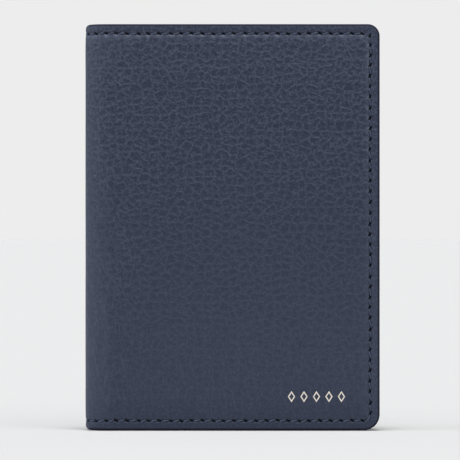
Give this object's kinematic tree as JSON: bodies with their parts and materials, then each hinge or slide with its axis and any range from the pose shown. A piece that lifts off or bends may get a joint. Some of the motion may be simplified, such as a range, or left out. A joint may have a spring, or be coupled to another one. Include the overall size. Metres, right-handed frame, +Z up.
{
  "type": "passport holder",
  "caption": "Folding navy pebbled leather passport cover with a stitched edge, a rolled spine, card pockets on one side inside and a passport sleeve on the other.",
  "frame": {"origin": "middle of the lower edge of the closed holder, half way between its two outer faces", "axes": "+X from the spine to the free edge, +Y from the front cover to the back cover, +Z up the spine"},
  "size_m": [0.1016, 0.013, 0.14],
  "materials": {
    "cover_leather": "pebbled grain, satin",
    "pocket_leather": "fine grain, satin",
    "lining": "fine woven twill",
    "board": "matte",
    "thread": "twisted polyester, semi-gloss",
    "foil": "pale champagne hot-stamped foil"
  },
  "bodies": {
    "back": {"back_outer_leather": "cover_leather", "back_turned_hem": "cover_leather", "back_board": "board", "back_lining": "lining", "passport_sleeve": "pocket_leather", "passport_sleeve_lining": "lining", "back_outer_thread": "thread", "back_inner_thread": "thread", "sleeve_edge_thread": "thread"},
    "spine": {"spine_outer_leather": "cover_leather", "spine_turned_hem": "cover_leather", "spine_reinforcement": "board", "spine_lining": "lining", "spine_outer_thread": "thread", "spine_inner_thread": "thread"},
    "front": {"front_outer_leather": "cover_leather", "front_turned_hem": "cover_leather", "front_board": "board", "front_lining": "lining", "card_panel": "pocket_leather", "card_pocket_top": "pocket_leather", "card_pocket_middle": "pocket_leather", "card_pocket_bottom": "pocket_leather", "card_liner_top": "lining", "card_liner_middle": "lining", "front_outer_thread": "thread", "front_inner_thread": "thread", "card_panel_thread": "thread", "foil_stamp": "foil"}
  },
  "joints": [
    {"name": "spine_fold", "type": "hinge", "parent": "back", "child": "spine", "pos_m": [-0.04897, 0.00467, 0.07], "axis": [0, 0, -1], "range_deg": [0, 90]},
    {"name": "front_fold", "type": "hinge", "parent": "spine", "child": "front", "pos_m": [-0.04897, -0.00467, 0.07], "axis": [0, 0, -1], "range_deg": [0, 90]}
  ],
  "couplings": [
    {"joint": "front_fold", "follows": "spine_fold", "ratio": 1}
  ]
}
